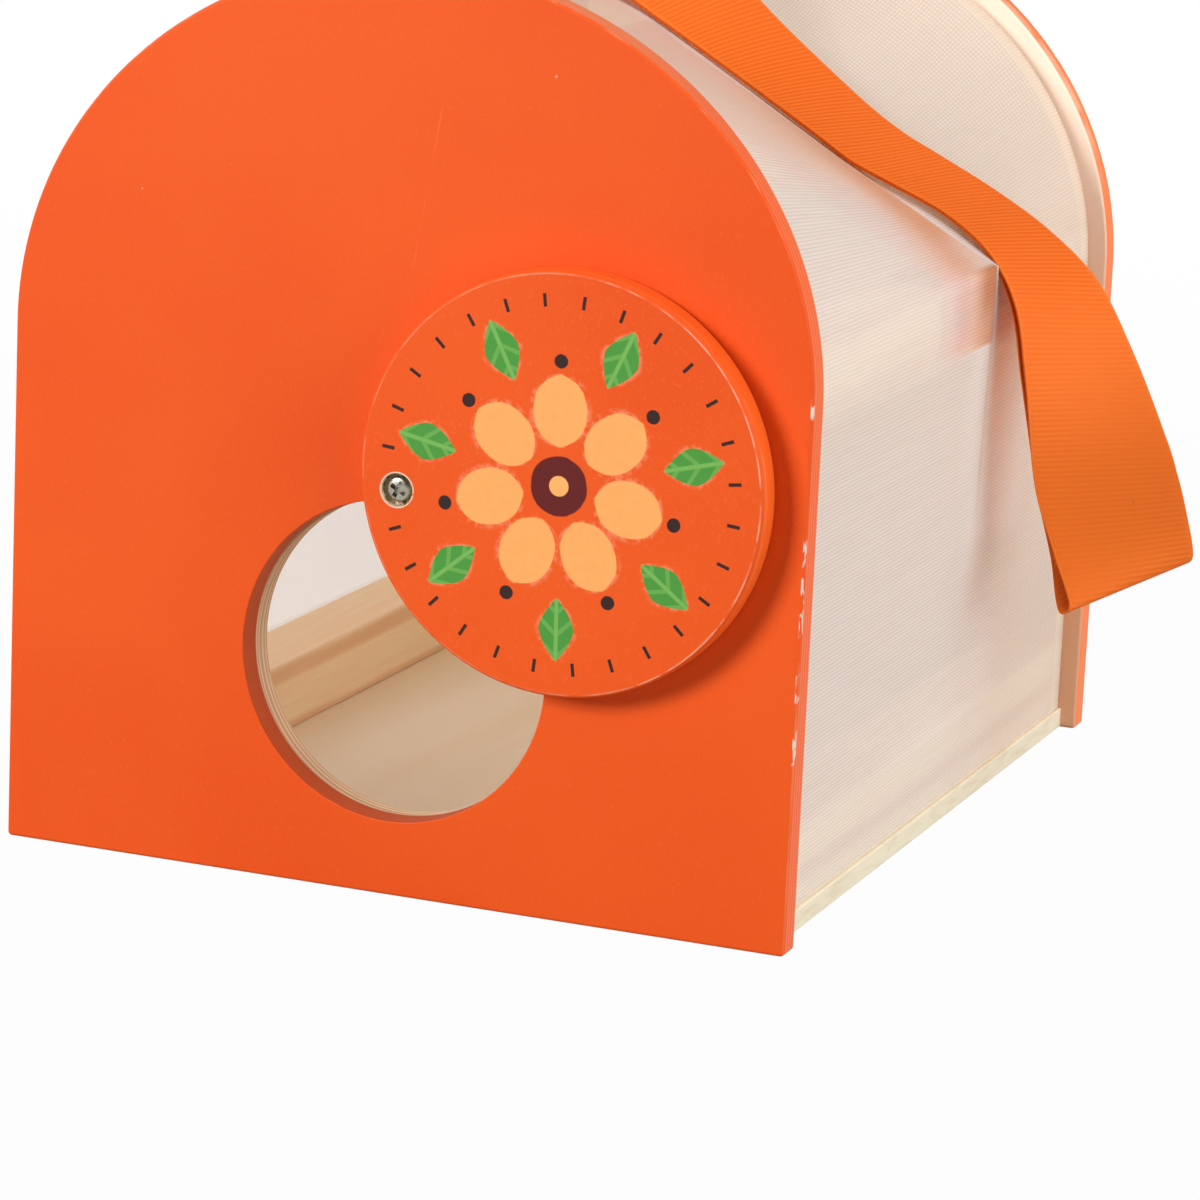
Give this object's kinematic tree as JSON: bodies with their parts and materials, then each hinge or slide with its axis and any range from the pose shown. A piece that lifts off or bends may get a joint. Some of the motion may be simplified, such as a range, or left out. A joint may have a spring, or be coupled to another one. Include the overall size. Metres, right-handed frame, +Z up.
{
  "type": "bug viewer",
  "caption": "Arched wooden bug house with a fine net over its sides and top, a round door that turns on a screw to open or close a hole, and a ribbon strap to carry it.",
  "frame": {"origin": "middle of the floor's underside, midway between the two ends", "axes": "+Z up, -Y out of the front end, where the door is, +X to the right seen from the front"},
  "size_m": [0.1869, 0.1904, 0.164],
  "materials": {
    "orange_paint": "satin orange paint on plywood",
    "plywood": "bare plywood",
    "pine": "planed pine",
    "net": "fine open net",
    "ribbon": "ribbed ribbon",
    "steel": "zinc plated"
  },
  "bodies": {
    "case": {"front_panel": "orange_paint", "back_panel": "orange_paint", "front_liner": "plywood", "back_liner": "plywood", "floor_board": "plywood", "net_cover": "net", "carry_strap": "ribbon", "pivot_screw": "steel", "left_lower_rail": "pine", "left_lower_brad_front": "steel", "left_lower_brad_back": "steel", "right_lower_rail": "pine", "right_lower_brad_front": "steel", "right_lower_brad_back": "steel", "left_upper_rail": "pine", "left_upper_brad_front": "steel", "left_upper_brad_back": "steel", "right_upper_rail": "pine", "right_upper_brad_front": "steel", "right_upper_brad_back": "steel", "left_tack_1": "steel", "left_tack_2": "steel", "right_tack_1": "steel", "right_tack_2": "steel"},
    "door": {"door_disc": "orange_paint"}
  },
  "joints": [
    {"name": "door_turn", "type": "hinge", "parent": "case", "child": "door", "pos_m": [0.0025, -0.0954, 0.0746], "axis": [0, 1, 0], "continuous": true}
  ]
}
